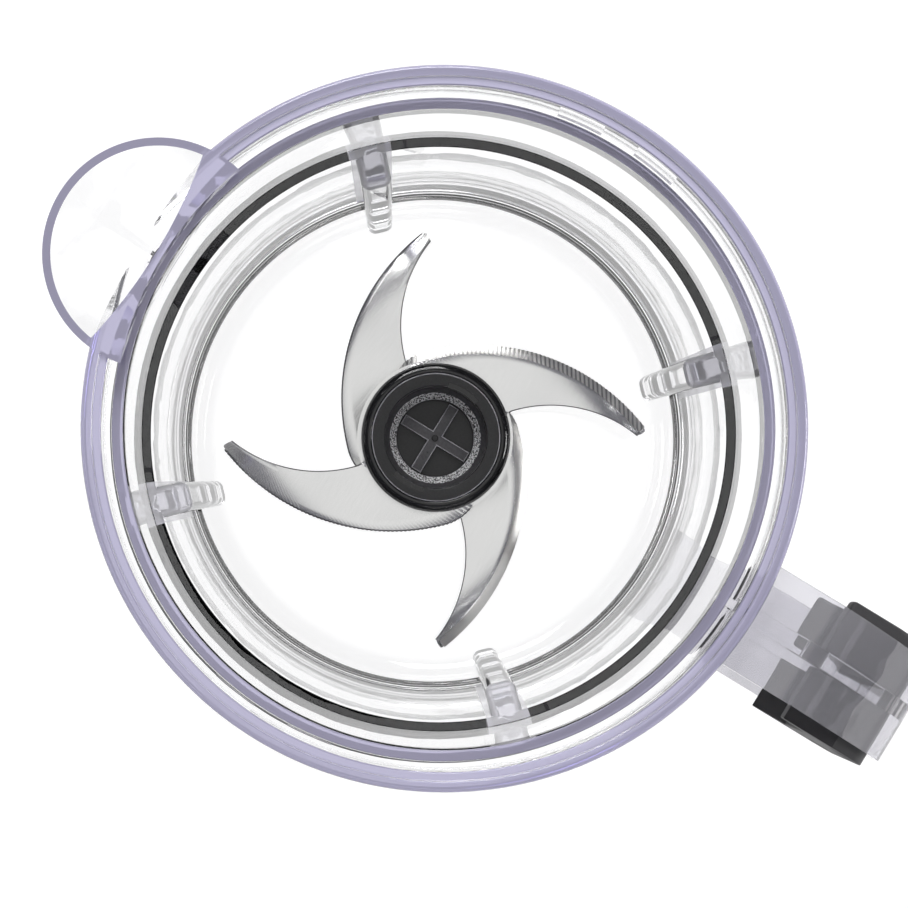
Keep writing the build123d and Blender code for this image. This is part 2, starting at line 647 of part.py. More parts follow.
def hub_ring():
    """Glossy black ring round the cup, which presses on the upper blades."""
    return turned(
        [
            (HUB_RING_INNER, HEAD_LOW),
            (HUB_RADIUS, HEAD_LOW),
            (HUB_RADIUS, HUB_TOP),
            (HUB_RING_INNER, HUB_TOP),
        ],
        {2: HUB_RING_ROUND, 3: HUB_RING_ROUND / 2},
    )


def drive_cross():
    """Disc with a raised cross, which the drive's slotted end turns."""
    top = POCKET_FLOOR + DISC_THICK
    radius = POCKET_RADIUS - RUNNING_CLEARANCE
    body = ring(radius, 0, POCKET_FLOOR, top)
    arms = Rectangle(2 * radius, CROSS_WIDTH) + Rectangle(CROSS_WIDTH, 2 * radius)
    arms &= Circle(radius)
    body += Pos(0, 0, top) * extrude(arms, CROSS_HEIGHT)
    return body + ring(CROSS_NUB_RADIUS, 0, top, top + CROSS_HEIGHT + CROSS_NUB)


def bush(low, high):
    """Plain bearing pressed into the hub, running on the sleeve."""
    return ring(BUSH_RADIUS, BUSH_BORE, low, high)


def rotor_seal():
    """Lip seal in the hub's mouth that hangs round the pin's flange."""
    return ring(LIP_SEAL_RADIUS, LIP_SEAL_BORE, LIP_SEAL_LOW, LIP_SEAL_TOP)


# --- Rotor: blades -------------------------------------------------------------------------
def on_arc(centre, radius, angle):
    """Point on an arc."""
    return (centre[0] + radius * cos(radians(angle)), centre[1] + radius * sin(radians(angle)))


def wing_outline():
    """One curved wing along +X: convex cutting edge, concave back, rounded tip."""
    root = on_arc(LEAD_CENTRE, LEAD_RADIUS, LEAD_ROOT_ANGLE)
    lead_middle = on_arc(LEAD_CENTRE, LEAD_RADIUS, (LEAD_ROOT_ANGLE + LEAD_TIP_ANGLE) / 2)
    lead_tip = on_arc(LEAD_CENTRE, LEAD_RADIUS, LEAD_TIP_ANGLE)
    trail_tip = on_arc(TRAIL_CENTRE, TRAIL_RADIUS, TRAIL_TIP_ANGLE)
    trail_middle = on_arc(TRAIL_CENTRE, TRAIL_RADIUS, (TRAIL_TIP_ANGLE + TRAIL_ROOT_ANGLE) / 2)
    trail_root = on_arc(TRAIL_CENTRE, TRAIL_RADIUS, TRAIL_ROOT_ANGLE)
    tip_middle = ((lead_tip[0] + trail_tip[0]) / 2 + TIP_BULGE, (lead_tip[1] + trail_tip[1]) / 2)
    edges = [
        Line((0, 0), root),
        ThreePointArc(root, lead_middle, lead_tip),
        ThreePointArc(lead_tip, tip_middle, trail_tip),
        ThreePointArc(trail_tip, trail_middle, trail_root),
        Line(trail_root, (0, 0)),
    ]
    return make_face(edges)


def blade_bevel(low, upward):
    """Cutter for the ground bevel: a cone round the cutting edge's centre."""
    inner, outer = LEAD_RADIUS - BEVEL_WIDTH, LEAD_RADIUS + EDGE
    slope = (BLADE_THICK - EDGE_LAND) / BEVEL_WIDTH
    face_z, fall = (low + BLADE_THICK, -slope) if upward else (low, slope)
    far = face_z + fall * (outer - inner)
    beyond = face_z + (EDGE if upward else -EDGE)
    cutter = turned([(inner, face_z), (outer, far), (outer, beyond), (inner, beyond)])
    return Pos(LEAD_CENTRE[0], LEAD_CENTRE[1], 0) * cutter


def blade_pair(low, angle):
    """S-shaped plate with two wings; one is ground from above and the other from below."""
    outline = wing_outline()
    plate = Circle(BLADE_EYE_RADIUS) + outline + Rot(0, 0, 180) * outline
    roots = [v for v in plate.vertices() if abs(Vector(*v).length - BLADE_EYE_RADIUS) < RUNNING_CLEARANCE]
    plate = fillet(roots, ROOT_FILLET)
    plate = Pos(0, 0, low) * extrude(plate, BLADE_THICK)
    keep = ring(BLADE_EYE_RADIUS, 0, low, low + BLADE_THICK)
    for turn, upward in ((0, True), (180, False)):
        half = Pos(RIM_RADIUS / 2, 0, low) * Box(RIM_RADIUS, 2 * RIM_RADIUS, EDGE)
        plate -= Rot(0, 0, turn) * (blade_bevel(low, upward) & half)
    plate = Rot(0, 0, angle) * (plate + keep)
    eye = stem_flats(CLAMP_BORE, STEM_FLATS + 2 * CLAMP_CLEARANCE)
    return plate - Pos(0, 0, low - EDGE) * extrude(eye, 2 * EDGE)


def clamp_ring(low, high):
    """Plain ring on the stem between or below the blades."""
    return ring(CLAMP_RADIUS, CLAMP_BORE, low, high)


def blade_nut():
    """Slotted ring nut on the stem's lower end that clamps the stack."""
    high = LOWER_BLADE_Z - BLADE_WASHER_THICK
    body = ring(BLADE_NUT_RADIUS, STEM_RADIUS + THREAD_CLEARANCE, HUB_BOTTOM, high)
    slot = Box(2 * BLADE_NUT_SLOT_DEPTH, BLADE_NUT_SLOT_WIDTH, 2 * EDGE)
    for place in range(BLADE_NUT_SLOTS):
        body -= Rot(0, 0, 360 / BLADE_NUT_SLOTS * place) * Pos(BLADE_NUT_RADIUS, 0, HUB_BOTTOM) * slot
    return body


def main():
    """Write every node."""
    os.makedirs("parts", exist_ok=True)
    save("jug_wall", jug_wall())
    save("jug_floor", jug_floor())
    save("jug_skirt", jug_skirt())
    save("jug_ribs", jug_ribs())
    save("rim_collar", rim_collar())
    save("handle_frame", handle_frame())
    save("grip_cheek_left", grip_cheek(1))
    save("grip_cheek_right", grip_cheek(-1))
    save("grip_screws", grip_screws())
    save("foot_ring", foot_ring())
    save("pivot_pin", pivot_pin())
    save("pin_seal", pin_seal())
    save("pin_washer", pin_washer())
    save("pin_lock_washer", pin_lock_washer())
    save("pin_nut", pin_nut())
    save("bearing_sleeve", bearing_sleeve())
    save("thrust_washer", thrust_washer())
    save("retaining_clip", retaining_clip())
    save("hub_body", hub_body())
    save("hub_ring", hub_ring())
    save("drive_cross", drive_cross())
    save("lower_bush", bush(LOWER_BUSH_LOW, LOWER_BUSH_TOP))
    save("upper_bush", bush(UPPER_BUSH_LOW, UPPER_BUSH_TOP))
    save("rotor_seal", rotor_seal())
    save("upper_blades", blade_pair(UPPER_BLADE_Z, BLADE_ANGLE))
    save("lower_blades", blade_pair(LOWER_BLADE_Z, BLADE_ANGLE - 90))
    save("blade_spacer", clamp_ring(LOWER_BLADE_Z + BLADE_THICK, UPPER_BLADE_Z))
    save("blade_washer", clamp_ring(LOWER_BLADE_Z - BLADE_WASHER_THICK, LOWER_BLADE_Z))
    save("blade_nut", blade_nut())


main()
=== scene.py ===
# %% [markdown]
# # A clear food processor jug and its lift-out blades
# The jug is the working half of a food processor that is driven from above: a clear vessel
# with a pouring spout and a loop handle, and a black hub with four curved steel wings inside.
# Its CAD model is loaded first and stays where it is. Every piece below takes its place from
# that model and rides on one of its bodies, so the blades still spin and lift out.

# %% Load the frame
import math

import bmesh
import bpy
from mathutils import Matrix, Vector


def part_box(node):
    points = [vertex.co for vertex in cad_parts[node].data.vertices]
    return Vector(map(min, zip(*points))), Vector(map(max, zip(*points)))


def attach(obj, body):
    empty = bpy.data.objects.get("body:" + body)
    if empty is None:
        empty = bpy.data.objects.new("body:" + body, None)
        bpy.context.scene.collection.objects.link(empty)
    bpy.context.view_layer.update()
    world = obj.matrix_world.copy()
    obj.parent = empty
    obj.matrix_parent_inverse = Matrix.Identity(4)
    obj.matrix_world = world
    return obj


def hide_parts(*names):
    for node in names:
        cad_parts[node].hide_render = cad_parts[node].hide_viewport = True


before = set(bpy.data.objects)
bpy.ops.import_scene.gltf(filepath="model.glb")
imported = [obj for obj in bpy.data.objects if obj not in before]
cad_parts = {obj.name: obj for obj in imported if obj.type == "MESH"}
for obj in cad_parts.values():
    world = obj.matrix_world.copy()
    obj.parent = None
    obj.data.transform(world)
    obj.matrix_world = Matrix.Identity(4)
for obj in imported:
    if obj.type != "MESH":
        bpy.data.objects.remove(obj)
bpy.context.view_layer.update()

# %% [markdown]
# ## Units and colours
# Blender works in metres and the jug was measured in millimetres, so one factor turns each
# size into metres. Colours are written as the hex values that a colour picker shows. Those are
# sRGB numbers, and shaders want linear ones, so one function turns them round.

# %% Units and colours
MM = 0.001


def colour(code, alpha=1.0):
    """Linear RGBA of an sRGB hex value such as '9A96B4'."""
    parts = [int(code[i:i + 2], 16) / 255 for i in (0, 2, 4)]
    return [p / 12.92 if p <= 0.04045 else ((p + 0.055) / 1.055) ** 2.4 for p in parts] + [alpha]


def size_of(node_name):
    """Lowest and highest corner of a CAD node in millimetres, to a hundredth."""
    low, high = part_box(node_name)
    return Vector([round(v / MM, 2) for v in low]), Vector([round(v / MM, 2) for v in high])


print("rim collar spans", size_of("rim_collar"))

# %% [markdown]
# ## One function for shader nodes
# A material is a small network of nodes. Each call adds one node, sets its options and its
# sockets, and links what feeds it. A value that is a socket becomes a link.

# %% Node helper
def add(tree, kind, sockets=None, **options):
    """Add a node with its options set and its sockets set or linked."""
    made = tree.nodes.new(kind)
    for name, value in options.items():
        setattr(made, name, value)
    for name, value in (sockets or {}).items():
        socket = made.inputs[name]
        if isinstance(value, bpy.types.NodeSocket):
            tree.links.new(value, socket)
        else:
            socket.default_value = value
    return made


def new_material(name):
    """Empty material and its node tree."""
    made = bpy.data.materials.new(name)
    made.use_nodes = True
    made.node_tree.nodes.clear()
    return made, made.node_tree


def close_material(made, surface, volume=None):
    """Link the shaders to the material's output."""
    tree = made.node_tree
    sockets = {"Surface": surface}
    if volume is not None:
        sockets["Volume"] = volume
    add(tree, "ShaderNodeOutputMaterial", sockets)
    return made


def ramp(tree, source, stops):
    """Colour ramp with the given (place, colour) stops."""
    made = add(tree, "ShaderNodeValToRGB", {"Fac": source})
    while len(made.color_ramp.elements) < len(stops):
        made.color_ramp.elements.new(0.5)
    for element, (place, value) in zip(made.color_ramp.elements, stops):
        element.position = place
        element.color = value
    return made.outputs["Color"]


# %% [markdown]
# ## Clear plastic
# The jug, its collar and its handle are moulded in clear copolyester. It refracts like any
# clear plastic (IOR about 1.57), and its tint only shows where light runs a long way inside it,
# so the tint is a weak violet absorption in the volume. The rim's cut-square top faces look
# down the whole depth of the collar, which is why the real ones read as lavender bands: those
# faces get a second, tinted and slightly milky material. The handle's haze and the milky roofs
# of the ribs are stand-ins, chosen so that the render reads like the photograph; nothing says the
# real plastic is hazy there. Faint moulding waves keep the walls from looking like optical glass.

# %% Clear copolyester
PLASTIC_IOR = 1.57
MOULD_WAVE_MM = 9.0
WAVE_HEIGHT = 0.00004


def clear_plastic(name, tint, depth_tint, density, clearness=1.0):
    """Clear moulded plastic with a surface tint and an absorbing body."""
    made, tree = new_material(name)
    place = add(tree, "ShaderNodeTexCoord").outputs["Object"]
    wave = add(tree, "ShaderNodeTexNoise", {"Vector": place, "Detail": 1.0,
                                            "Scale": 1 / (MOULD_WAVE_MM * MM)})
    bump = add(tree, "ShaderNodeBump", {"Height": wave.outputs["Fac"], "Distance": WAVE_HEIGHT,
                                        "Strength": 0.6})
    shader = add(tree, "ShaderNodeBsdfPrincipled", {
        "Base Color": colour(tint),
        "Roughness": 0.0,
        "IOR": PLASTIC_IOR,
        "Transmission Weight": clearness,
        "Normal": bump.outputs["Normal"],
    })
    body = add(tree, "ShaderNodeVolumeAbsorption", {"Color": colour(depth_tint), "Density": density})
    return close_material(made, shader.outputs["BSDF"], body.outputs["Volume"])


CLEAR = clear_plastic("clear_copolyester_moulded", "FFFFFF", "C4C0E0", 2.5)
EDGE_TINT = clear_plastic("clear_copolyester_rim_edge", "BDB9D6", "C4C0E0", 2.5, clearness=0.38)
HANDLED = clear_plastic("clear_copolyester_hazed_by_hands", "ECEBF0", "C4C0E0", 2.5, clearness=0.82)
MILKY = clear_plastic("clear_copolyester_rib_milky", "F2F1F6", "C4C0E0", 2.5, clearness=0.4)
print("clear plastics:", CLEAR.name, EDGE_TINT.name)

# %% [markdown]
# ## Steels
# The wings are stamped from stainless sheet and tumble-polished, so they mirror a soft room
# and show only fine straight scratches from the rolling mill. Their cutting edges are ground,
# which leaves a paler, finely toothed bevel; on the upper plate that bevel is darkened in bands at
# the teeth's pitch, painted shade of the serrations. The chamfers along the wings' edges are given a
# dark steel, a painted dark outline. The pin, the nut and the washers are turned steel,
# a little brighter, with rings round their axis.

# %% Steels
ROLL_LINE_MM = 0.25
TOOTH_MM = 1.05
UPPER_ANGLE, LOWER_ANGLE = 32.8, -57.2


def steel(name, base, roughness, line_mm, stretch=(1.0, 1.0, 1.0), wave=None, angle=0.0, dark=0.94):
    """Metal with fine lines: rolled by default, or a wave's rings or bands at an angle."""
    made, tree = new_material(name)
    place = add(tree, "ShaderNodeTexCoord").outputs["Object"]
    turn = add(tree, "ShaderNodeMapping", {"Vector": place, "Scale": stretch,
                                           "Rotation": (0.0, 0.0, -math.radians(angle))})
    if wave:
        scale = math.tau / (20 * line_mm * MM)
        lines = add(tree, "ShaderNodeTexWave", {"Vector": turn.outputs["Vector"], "Scale": scale,
                                                "Distortion": 0.6},
                    wave_type=wave, rings_direction="Z", bands_direction="X")
    else:
        lines = add(tree, "ShaderNodeTexNoise", {"Vector": turn.outputs["Vector"],
                                                 "Scale": 1 / (line_mm * MM), "Detail": 3.0})
    pattern = lines.outputs["Fac"]
    rough = add(tree, "ShaderNodeMapRange", {"Value": pattern, "To Min": roughness * 0.75,
                                             "To Max": roughness * 1.25})
    tone = ramp(tree, pattern, [(0.3, [c * dark for c in colour(base)[:3]] + [1.0]), (0.7, colour(base))])
    bump = add(tree, "ShaderNodeBump", {"Height": pattern, "Distance": 0.00001, "Strength": 0.25})
    shader = add(tree, "ShaderNodeBsdfPrincipled", {
        "Base Color": tone, "Metallic": 1.0, "Roughness": rough.outputs["Result"],
        "Normal": bump.outputs["Normal"],
    })
    return close_material(made, shader.outputs["BSDF"])


BLADE = steel("stainless_sheet_polished", "D9D9D8", 0.19, ROLL_LINE_MM, stretch=(1.0, 0.06, 1.0))
GROUND = steel("stainless_edge_ground", "D0CFCC", 0.34, 0.5)
# Bands darken the ground steel's colour tooth by tooth: painted shade of the serrations.
TOOTHED_PAINTED_SHADE = steel("stainless_edge_toothed_painted_shade", "E2E1DE", 0.36, TOOTH_MM, wave="BANDS", angle=UPPER_ANGLE, dark=0.6)
# Dark steel on the wings' edge chamfers: a painted dark outline, painted shade.
EDGE_PAINTED_DARK = steel("stainless_edge_painted_dark", "6C6B6D", 0.3, 0.5)
TURNED = steel("stainless_turned", "D6D4D1", 0.22, 1.0, wave="RINGS")
print("steels:", BLADE.name, GROUND.name, TURNED.name)

# %% [markdown]
# ## Black plastics and rubber
# The hub is moulded nylon: dark, satin, with a fine mould grain. Its ring is polished, so it
# catches thin highlights. In the cup the wall is painted a paler grey, which is painted light, and
# its cone gets white specks, which are painted glints. The grip
# and the foot are soft elastomer, matt with a very fine grain.

# %% Black plastics and rubber
def moulded(name, base, roughness, grain_mm, grain_height, coat=0.0, glint_colour=None, glint_share=0.5):
    """Opaque moulded plastic or rubber with grain, and pale specks painted as glints if a glint colour is
    given.
    """
    made, tree = new_material(name)
    place = add(tree, "ShaderNodeTexCoord").outputs["Object"]
    grain = add(tree, "ShaderNodeTexNoise", {"Vector": place, "Scale": 1 / (grain_mm * MM), "Detail": 4.0})
    bump = add(tree, "ShaderNodeBump", {"Height": grain.outputs["Fac"], "Distance": grain_height,
                                        "Strength": 0.5})
    paler = [min(1.0, c * 1.5 + 0.004) for c in colour(base)[:3]] + [1.0]
    stops = [(0.35, colour(base)), (0.75, paler)]
    if glint_colour:
        stops = [(glint_share - 0.04, colour(base)), (glint_share + 0.06, colour(glint_colour))]
    tone = ramp(tree, grain.outputs["Fac"], stops)
    rough = add(tree, "ShaderNodeMapRange", {"Value": grain.outputs["Fac"], "To Min": roughness * 0.8,
                                             "To Max": min(1.0, roughness * 1.2)})
    shader = add(tree, "ShaderNodeBsdfPrincipled", {
        "Base Color": tone, "Roughness": rough.outputs["Result"], "IOR": 1.5,
        "Coat Weight": coat, "Coat Roughness": 0.08, "Normal": bump.outputs["Normal"],
    })
    return close_material(made, shader.outputs["BSDF"])


HUB = moulded("glass_filled_nylon_satin", "1A1A1B", 0.36, 0.5, 0.00002)
# Polished black for the ring, and the darker black on the notches' faces: painted shade.
GLOSS_AND_NOTCH_SHADE = moulded("black_plastic_polished_and_notch_shade", "0C0C0D", 0.08, 1.2, 0.000003)
# Paler grey for the cup's wall, on the same nylon as the hub: painted light.
CUP_WALL_PAINTED_LIGHT = moulded("nylon_cup_wall_painted_light", "4C4B4D", 0.3, 0.6, 0.00002)
# White specks on the cup's cone: painted glints.
CUP_GLINTS_PAINTED = moulded("nylon_painted_glints", "3A393C", 0.35, 0.4, 0.00005, glint_colour="FFFFFF", glint_share=0.47)
CROSS = moulded("nylon_drive_cross", "4A494C", 0.3, 0.6, 0.00002)
# Pale grey for the drive cross's bevelled edges and the hub's rims: painted highlights.
EDGE_HIGHLIGHT_PAINTED = moulded("nylon_edge_painted_highlight", "BDBBC0", 0.3, 0.4, 0.00002)
GRIP = moulded("elastomer_soft_touch", "2E2D2F", 0.55, 0.25, 0.00003)
FOOT = moulded("elastomer_foot", "56565A", 0.6, 0.3, 0.00003)
ACETAL = moulded("acetal_machined", "E6E4DE", 0.35, 0.4, 0.00001)
NITRILE = moulded("nitrile_seal", "151515", 0.5, 0.4, 0.00001)
print("plastics and rubbers ready")

# %% [markdown]
# ## Turned shapes
# A jug, a ring or a hub is a shape of revolution, so its natural tool is the lathe: draw half
# of its section and spin it. The section's corners are rounded before the spin, because a
# vertex bevel on a flat outline is cheap and exact, and every round then runs the whole way.

# %% Lathe
TURN_STEPS = 256
ROUND_STEPS = 6


def outline(points, rounds=None):
    """Flat face in the XZ plane from (radius, z) points in mm, with some corners rounded."""
    bm = bmesh.new()
    corners = [bm.verts.new((x * MM, 0, z * MM)) for x, z in points]
    bm.faces.new(corners)
    for place, radius in (rounds or {}).items():
        before, here, after = (Vector(points[(place + step) % len(points)]) for step in (-1, 0, 1))
        turn = (here - before).angle(after - here)
        slide = radius * MM * math.tan(turn / 2)
        bmesh.ops.bevel(bm, geom=[corners[place]], offset=slide, offset_type="OFFSET",
                        segments=ROUND_STEPS, profile=0.5, affect="VERTICES", material=-1)
    return bm


def spun(points, rounds=None, steps=TURN_STEPS):
    """Closed solid of revolution from a closed section."""
    bm = outline(points, rounds)
    bmesh.ops.delete(bm, geom=bm.faces[:], context="FACES_ONLY")
    on_axis = [e for e in bm.edges if all(abs(v.co.x) < 1e-7 for v in e.verts)]
    bmesh.ops.delete(bm, geom=on_axis, context="EDGES")
    bmesh.ops.spin(bm, geom=bm.verts[:] + bm.edges[:], cent=(0, 0, 0), axis=(0, 0, 1),
                   angle=math.tau, steps=steps, use_merge=True, use_duplicate=False)
    bmesh.ops.remove_doubles(bm, verts=bm.verts[:], dist=1e-6)
    bmesh.ops.recalc_face_normals(bm, faces=bm.faces[:])
    return bm


def ring_section(outer, inner, low, high):
    """Square section of a plain ring."""
    return [(inner, low), (outer, low), (outer, high), (inner, high)]


# %% [markdown]
# ## From bmesh to finished piece
# Each piece becomes an object at the origin, with its place in its mesh. Faces are shaded
# smooth, and edges sharper than a set angle stay crisp. Where two solids have to become one,
# as a rib and a wall in one moulding, an exact boolean joins them and is applied at once.

# %% Finishing
SHARP = math.radians(32)


def piece(name, bm, materials, body=None, stands_for=(), sharp=SHARP):
    """Object from a bmesh: named, shaded, given its materials and its CAD body."""
    mesh = bpy.data.meshes.new(name)
    bm.to_mesh(mesh)
    bm.free()
    made = bpy.data.objects.new(name, mesh)
    bpy.context.scene.collection.objects.link(made)
    for material in materials:
        mesh.materials.append(material)
    mesh.shade_smooth()
    mesh.set_sharp_from_angle(angle=sharp)
    if body:
        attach(made, body)
    if stands_for:
        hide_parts(*stands_for)
    return made


def settle(made, sharp=SHARP):
    """Apply the piece's modifiers to its mesh."""
    graph = bpy.context.evaluated_depsgraph_get()
    mesh = bpy.data.meshes.new_from_object(made.evaluated_get(graph))
    made.modifiers.clear()
    made.data = mesh
    mesh.shade_smooth()
    mesh.set_sharp_from_angle(angle=sharp)


def combine(made, bm, operation):
    """Join, cut or intersect a piece with another solid."""
    tool = piece(made.name + "_tool", bm, [])
    how = made.modifiers.new("combine", "BOOLEAN")
    how.operation = operation
    how.solver = "EXACT"
    how.object = tool
    settle(made)
    bpy.data.objects.remove(tool)


def even_normals(made):
    """Large flat faces keep their own normals beside small rounded ones."""
    made.modifiers.new("normals", "WEIGHTED_NORMAL").keep_sharp = True


def extruded(bm, vector):
    """Pull every face of a flat bmesh along a vector in mm, into a closed solid."""
    got = bmesh.ops.extrude_face_region(bm, geom=bm.faces[:], use_keep_orig=True)
    moved = [g for g in got["geom"] if isinstance(g, bmesh.types.BMVert)]
    bmesh.ops.translate(bm, verts=moved, vec=Vector(vector) * MM)
    bmesh.ops.recalc_face_normals(bm, faces=bm.faces[:])
    return bm


print("lathe, boolean and extrude ready")

# %% [markdown]
# ## The clear jug
# Wall, floor, skirt and rim collar are drawn as one section and spun together, so light meets
# no false surface between them. The section runs up the inside, over the wall's top, down into
# the lid's groove, over the stepped rim and back down the outside.

# %% Jug section
RIM_Z, RIM_RADIUS = 140.0, 80.0
WALL = 2.5
MOUTH_RADIUS = 71.1
VESSEL_RADIUS = MOUTH_RADIUS + WALL
COLLAR_INNER = 75.5
COLLAR_LOW = 118.0
SKIRT_RADIUS = 77.9
FLOOR_Z = 12.0
LEDGE_LOW, LEDGE_HIGH = (67.1, 81.0), (69.1, 84.0)
PIN_HOLE = 3.1

jug_section = [
    (PIN_HOLE, FLOOR_Z), (60.85, FLOOR_Z), LEDGE_LOW, LEDGE_HIGH,
    (MOUTH_RADIUS, 119.0), (MOUTH_RADIUS, 131.0), (VESSEL_RADIUS, 131.0), (VESSEL_RADIUS, 121.0),
    (COLLAR_INNER, 121.0), (COLLAR_INNER, 138.8), (77.5, 138.8), (77.5, RIM_Z),
    (RIM_RADIUS, RIM_Z), (RIM_RADIUS, COLLAR_LOW), (VESSEL_RADIUS, COLLAR_LOW),
    (LEDGE_HIGH[0] + WALL, LEDGE_HIGH[1]), (LEDGE_LOW[0] + WALL, LEDGE_LOW[1]), (65.3, 30.0),
    (SKIRT_RADIUS, 11.0), (SKIRT_RADIUS, 2.6), (SKIRT_RADIUS - WALL, 2.6), (SKIRT_RADIUS - WALL, 10.0),
    (63.35, 21.0), (62.1, 9.0), (PIN_HOLE, 9.0),
]
jug_rounds = {1: 8.0, 2: 1.2, 3: 1.2, 5: 0.25, 6: 0.25, 7: 0.6, 8: 0.6, 9: 0.5, 10: 0.3, 11: 0.4,
              12: 0.9, 13: 1.5, 17: 6.0, 18: 3.0, 21: 2.0, 22: 3.0, 23: 2.0}
vessel = ("jug_wall", "jug_floor", "jug_skirt", "jug_ribs", "rim_collar")
jug = piece("clear_jug", spun(jug_section, jug_rounds), [CLEAR, EDGE_TINT, MILKY], body="jug",
            stands_for=vessel)
print("jug faces:", len(jug.data.polygons))

# %% [markdown]
# ## Blocks on the jug's wall
# Four ribs stand on the inside of the wall. Each leans out a little as the wall does and ends in
# a sloping roof, and its long edges are rounded. Two lugs for the lid stand in the groove, each
# split by a notch, and a small key bridges the groove on the handle's side.

# %% Ribs, lugs and key
RIB_EDGE = 2.0
RIB_SHOULDER = 74.0
RIB_SIDE = [(61.5, 11.0), (53.3, 11.0), (59.96, RIB_SHOULDER), (67.9, 81.9), (66.6, 70.0)]
RIB_WIDTHS = (6.3, 6.3, 7.4, 7.5, 7.4)  # at each of those corners
LUG_ANGLES = ((-11.5, -3.3), (3.3, 11.5))
KEY_HALF_ANGLE = 0.84


def swept(section, low, high, steps=10):
    """Section of (radius, z) points carried round the axis between two angles in degrees."""
    bm = outline(section)
    bmesh.ops.rotate(bm, verts=bm.verts[:], matrix=Matrix.Rotation(math.radians(low), 3, "Z"))
    bmesh.ops.spin(bm, geom=bm.faces[:], axis=(0, 0, 1), angle=math.radians(high - low), steps=steps,
                   use_duplicate=False)
    bmesh.ops.recalc_face_normals(bm, faces=bm.faces[:])
    return bm


def rib(angle):
    """Tapered rib with a sloping roof and rounded long edges."""
    bm = outline(RIB_SIDE)
    bmesh.ops.translate(bm, verts=bm.verts[:], vec=(0, -MM / 2, 0))
    extruded(bm, (0, 1, 0))
    widths = {round(z): width for (_, z), width in zip(RIB_SIDE, RIB_WIDTHS)}
    for vert in bm.verts:
        vert.co.y *= widths[round(vert.co.z / MM)]
    exposed = {v for v in bm.verts if v.co.x < 60.5 * MM or v.co.z > 81.0 * MM}
    rounded = []
    for edge in bm.edges:
        one, other = edge.verts
        across = abs(one.co.y - other.co.y) > 2 * MM
        at_shoulder = abs(one.co.z / MM - RIB_SHOULDER) < 0.5
        if one in exposed and other in exposed and (at_shoulder or not across):
            rounded.append(edge)
    bmesh.ops.bevel(bm, geom=rounded, offset=RIB_EDGE * MM, segments=6, profile=0.5, affect="EDGES",
                    material=-1)
    bmesh.ops.rotate(bm, verts=bm.verts[:], matrix=Matrix.Rotation(angle, 3, "Z"))
    return bm


for quarter in range(4):
    combine(jug, rib(math.radians(45 + 90 * quarter)), "UNION")
lug = [(73.8, 131.8), (76.6, 131.8), (76.6, 136.8), (73.8, 136.8)]
for middle in (90, -90):
    for low, high in LUG_ANGLES:
        combine(jug, swept(lug, middle + low, middle + high), "UNION")
key = [(73.1, 120.5), (76.6, 120.5), (76.6, 130.9), (73.1, 130.9)]
combine(jug, swept(key, -KEY_HALF_ANGLE, KEY_HALF_ANGLE, steps=2), "UNION")
print("jug with ribs, lugs and key:", len(jug.data.polygons))

# %% [markdown]
# ## The pouring spout
# The spout is the space between two slanting cones. The outer one is joined to the collar, with
# the jug's own volume taken out of it first, and the inner one is cut away as the channel. A
# large cylinder bounds the channel on the jug's side: the mouth's inner wall runs on unbroken
# in front of the spout, and the collar tapers away into it from both sides.

# %% Spout
SPOUT_LOW = 113.0
CONE_STEPS = 160
THROAT_CENTRE, THROAT_RADIUS = 67.0, 9.0
LIP_CENTRE, LIP_RADIUS = 73.6, 25.5
LIP_WALL = 1.8
CHANNEL_LIFT = 3.0
TAPER_CENTRE, TAPER_RADIUS = 191.2, 117.0


def slanting_cone(shrink, low, high):
    """Cone between the spout's throat and its lip, from one height to another."""
    centres, radii = [], []
    for z in (low, high):
        share = (z - SPOUT_LOW) / (RIM_Z - SPOUT_LOW)
        centres.append(THROAT_CENTRE + (LIP_CENTRE - THROAT_CENTRE) * share)
        radii.append((THROAT_RADIUS + (LIP_RADIUS - THROAT_RADIUS) * share - shrink) * MM)
    bm = bmesh.new()
    bmesh.ops.create_cone(bm, cap_ends=True, segments=CONE_STEPS, radius1=radii[0], radius2=radii[1],
                          depth=(high - low) * MM)
    for vert in bm.verts:
        vert.co += Vector((-centres[vert.co.z > 0], 0, (low + high) / 2)) * MM
    return bm


def merge(made, other, operation):
    """Combine a piece with an object that has been shaped already."""
    bm = bmesh.new()
    bm.from_mesh(other.data)
    bpy.data.objects.remove(other)
    combine(made, bm, operation)


outside = piece("spout_outside", slanting_cone(0.0, SPOUT_LOW, RIM_Z), [CLEAR])
inner = VESSEL_RADIUS - 1.0
combine(outside, spun([(0, 90), (inner, 90), (inner, 160), (0, 160)]), "DIFFERENCE")
merge(jug, outside, "UNION")
channel = piece("spout_channel", slanting_cone(LIP_WALL, SPOUT_LOW + CHANNEL_LIFT, RIM_Z + 1), [CLEAR])
bound = spun([(0, 100), (TAPER_RADIUS, 100), (TAPER_RADIUS, 160), (0, 160)], steps=720)
bmesh.ops.translate(bound, verts=bound.verts[:], vec=(-TAPER_CENTRE * MM, 0, 0))
combine(channel, bound, "INTERSECT")
merge(jug, channel, "DIFFERENCE")
even_normals(jug)

TOP_EDGES = ((130.9, 70.5, 74.2), (138.7, COLLAR_INNER - 0.1, RIM_RADIUS + 0.1), (139.9, 73.0, 101.0))
for face in jug.data.polygons:
    spot = face.center / MM
    reach = Vector(spot[:2]).length
    on_top = any(abs(spot.z - z) < 0.35 and near < reach < far for z, near, far in TOP_EDGES)
    if on_top and face.normal.z > 0.6:
        face.material_index = 1
    beside = abs(math.degrees(math.atan2(spot.y, spot.x)) % 90 - 45)
    if 55 < reach < 69.4 and 62 < spot.z < 82.5 and beside < 3.7:
        face.material_index = 2
print("jug with spout:", len(jug.data.polygons), "tinted:", sum(f.material_index for f in jug.data.polygons))

